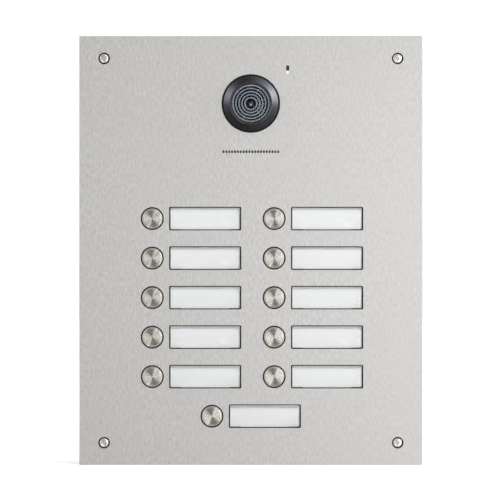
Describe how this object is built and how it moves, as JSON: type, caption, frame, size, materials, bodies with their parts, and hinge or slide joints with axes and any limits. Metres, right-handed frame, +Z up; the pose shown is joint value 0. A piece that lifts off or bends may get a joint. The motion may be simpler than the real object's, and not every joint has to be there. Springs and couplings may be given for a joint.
{
  "type": "door intercom panel",
  "caption": "Flush-mounted steel door intercom panel with call buttons beside name windows, a camera, sound slots and a wall box.",
  "frame": {"origin": "centre of the four fixing holes, on the back face of the flush box", "axes": "+Z up, +X to the right of a visitor who faces the panel, +Y into the wall"},
  "size_m": [0.28, 0.0631, 0.35],
  "materials": {
    "stainless_plate": "short-grain brushed stainless steel",
    "turned_steel": "turned stainless steel with concentric grain",
    "screw_steel": "plain stainless steel",
    "galvanised_sheet": "galvanised sheet steel with faint spangle",
    "black_rubber": "matt black rubber",
    "grey_foam": "closed-cell foam",
    "clear_cover": "clear polycarbonate",
    "clear_dome": "clear polycarbonate",
    "light_guide": "frosted clear plastic",
    "dark_tray": "dark grey moulded plastic",
    "label_card": "blank white card",
    "black_sleeve": "matt black plastic",
    "black_anodised": "black anodised aluminium, turned",
    "blue_grey_baffle": "blue-grey anodised aluminium",
    "coated_glass": "coated optical glass",
    "circuit_board": "green solder mask",
    "chip_black": "moulded black package",
    "led_white": "white light-emitting diode",
    "switch_plastic": "black plastic switch body",
    "spring_wire": "bright spring steel",
    "terminal_green": "green plastic terminal body",
    "ribbon_grey": "grey flat cable",
    "speaker_steel": "black painted sheet steel",
    "speaker_paper": "treated paper",
    "ferrite": "ferrite and plated steel",
    "capsule_metal": "plain aluminium can"
  },
  "bodies": {
    "panel": {"board_components": "chip_black", "bottom_call_board": "circuit_board", "button_sleeves": "black_sleeve", "button_springs": "spring_wire", "button_switches": "switch_plastic", "cable_grommet": "black_rubber", "call_boards": "circuit_board", "camera_baffle": "blue_grey_baffle", "camera_bezel": "black_anodised", "camera_board": "circuit_board", "camera_housing": "black_sleeve", "camera_lens": "coated_glass", "camera_ring_nut": "black_anodised", "camera_seal": "black_rubber", "camera_window": "clear_dome", "cover_screws": "screw_steel", "flush_box": "galvanised_sheet", "front_plate": "stainless_plate", "image_sensor": "chip_black", "label_leds": "led_white", "lens_barrel": "black_sleeve", "light_pipe": "light_guide", "main_board": "circuit_board", "microphone_boot": "black_rubber", "microphone_capsule": "capsule_metal", "name_labels": "label_card", "name_trays": "dark_tray", "plate_gasket": "black_rubber", "ribbon_cables": "ribbon_grey", "screw_washers": "black_rubber", "speaker_cone": "speaker_paper", "speaker_frame": "speaker_steel", "speaker_gasket": "grey_foam", "speaker_magnet": "ferrite", "stud_nuts": "screw_steel", "terminal_block": "terminal_green", "threaded_inserts": "galvanised_sheet", "weld_studs": "screw_steel"},
    "button_01": {"button_cap_01": "turned_steel"},
    "button_02": {"button_cap_02": "turned_steel"},
    "button_03": {"button_cap_03": "turned_steel"},
    "button_04": {"button_cap_04": "turned_steel"},
    "button_05": {"button_cap_05": "turned_steel"},
    "button_06": {"button_cap_06": "turned_steel"},
    "button_07": {"button_cap_07": "turned_steel"},
    "button_08": {"button_cap_08": "turned_steel"},
    "button_09": {"button_cap_09": "turned_steel"},
    "button_10": {"button_cap_10": "turned_steel"},
    "button_11": {"button_cap_11": "turned_steel"},
    "cover_01": {"name_cover_01": "clear_cover"},
    "cover_02": {"name_cover_02": "clear_cover"},
    "cover_03": {"name_cover_03": "clear_cover"},
    "cover_04": {"name_cover_04": "clear_cover"},
    "cover_05": {"name_cover_05": "clear_cover"},
    "cover_06": {"name_cover_06": "clear_cover"},
    "cover_07": {"name_cover_07": "clear_cover"},
    "cover_08": {"name_cover_08": "clear_cover"},
    "cover_09": {"name_cover_09": "clear_cover"},
    "cover_10": {"name_cover_10": "clear_cover"},
    "cover_11": {"name_cover_11": "clear_cover"}
  },
  "joints": [
    {"name": "button_press_01", "type": "slide", "parent": "panel", "child": "button_01", "axis": [0, 1, 0], "range_m": [0, 0.0015], "stiffness_N_per_m": 600, "springref_m": -0.002, "deforming": ["button_springs"]},
    {"name": "button_press_02", "type": "slide", "parent": "panel", "child": "button_02", "axis": [0, 1, 0], "range_m": [0, 0.0015], "stiffness_N_per_m": 600, "springref_m": -0.002, "deforming": ["button_springs"]},
    {"name": "button_press_03", "type": "slide", "parent": "panel", "child": "button_03", "axis": [0, 1, 0], "range_m": [0, 0.0015], "stiffness_N_per_m": 600, "springref_m": -0.002, "deforming": ["button_springs"]},
    {"name": "button_press_04", "type": "slide", "parent": "panel", "child": "button_04", "axis": [0, 1, 0], "range_m": [0, 0.0015], "stiffness_N_per_m": 600, "springref_m": -0.002, "deforming": ["button_springs"]},
    {"name": "button_press_05", "type": "slide", "parent": "panel", "child": "button_05", "axis": [0, 1, 0], "range_m": [0, 0.0015], "stiffness_N_per_m": 600, "springref_m": -0.002, "deforming": ["button_springs"]},
    {"name": "button_press_06", "type": "slide", "parent": "panel", "child": "button_06", "axis": [0, 1, 0], "range_m": [0, 0.0015], "stiffness_N_per_m": 600, "springref_m": -0.002, "deforming": ["button_springs"]},
    {"name": "button_press_07", "type": "slide", "parent": "panel", "child": "button_07", "axis": [0, 1, 0], "range_m": [0, 0.0015], "stiffness_N_per_m": 600, "springref_m": -0.002, "deforming": ["button_springs"]},
    {"name": "button_press_08", "type": "slide", "parent": "panel", "child": "button_08", "axis": [0, 1, 0], "range_m": [0, 0.0015], "stiffness_N_per_m": 600, "springref_m": -0.002, "deforming": ["button_springs"]},
    {"name": "button_press_09", "type": "slide", "parent": "panel", "child": "button_09", "axis": [0, 1, 0], "range_m": [0, 0.0015], "stiffness_N_per_m": 600, "springref_m": -0.002, "deforming": ["button_springs"]},
    {"name": "button_press_10", "type": "slide", "parent": "panel", "child": "button_10", "axis": [0, 1, 0], "range_m": [0, 0.0015], "stiffness_N_per_m": 600, "springref_m": -0.002, "deforming": ["button_springs"]},
    {"name": "button_press_11", "type": "slide", "parent": "panel", "child": "button_11", "axis": [0, 1, 0], "range_m": [0, 0.0015], "stiffness_N_per_m": 600, "springref_m": -0.002, "deforming": ["button_springs"]},
    {"name": "cover_pull_01", "type": "slide", "parent": "panel", "child": "cover_01", "axis": [0, -1, 0], "range_m": [0, 0.012]},
    {"name": "cover_pull_02", "type": "slide", "parent": "panel", "child": "cover_02", "axis": [0, -1, 0], "range_m": [0, 0.012]},
    {"name": "cover_pull_03", "type": "slide", "parent": "panel", "child": "cover_03", "axis": [0, -1, 0], "range_m": [0, 0.012]},
    {"name": "cover_pull_04", "type": "slide", "parent": "panel", "child": "cover_04", "axis": [0, -1, 0], "range_m": [0, 0.012]},
    {"name": "cover_pull_05", "type": "slide", "parent": "panel", "child": "cover_05", "axis": [0, -1, 0], "range_m": [0, 0.012]},
    {"name": "cover_pull_06", "type": "slide", "parent": "panel", "child": "cover_06", "axis": [0, -1, 0], "range_m": [0, 0.012]},
    {"name": "cover_pull_07", "type": "slide", "parent": "panel", "child": "cover_07", "axis": [0, -1, 0], "range_m": [0, 0.012]},
    {"name": "cover_pull_08", "type": "slide", "parent": "panel", "child": "cover_08", "axis": [0, -1, 0], "range_m": [0, 0.012]},
    {"name": "cover_pull_09", "type": "slide", "parent": "panel", "child": "cover_09", "axis": [0, -1, 0], "range_m": [0, 0.012]},
    {"name": "cover_pull_10", "type": "slide", "parent": "panel", "child": "cover_10", "axis": [0, -1, 0], "range_m": [0, 0.012]},
    {"name": "cover_pull_11", "type": "slide", "parent": "panel", "child": "cover_11", "axis": [0, -1, 0], "range_m": [0, 0.012]}
  ]
}
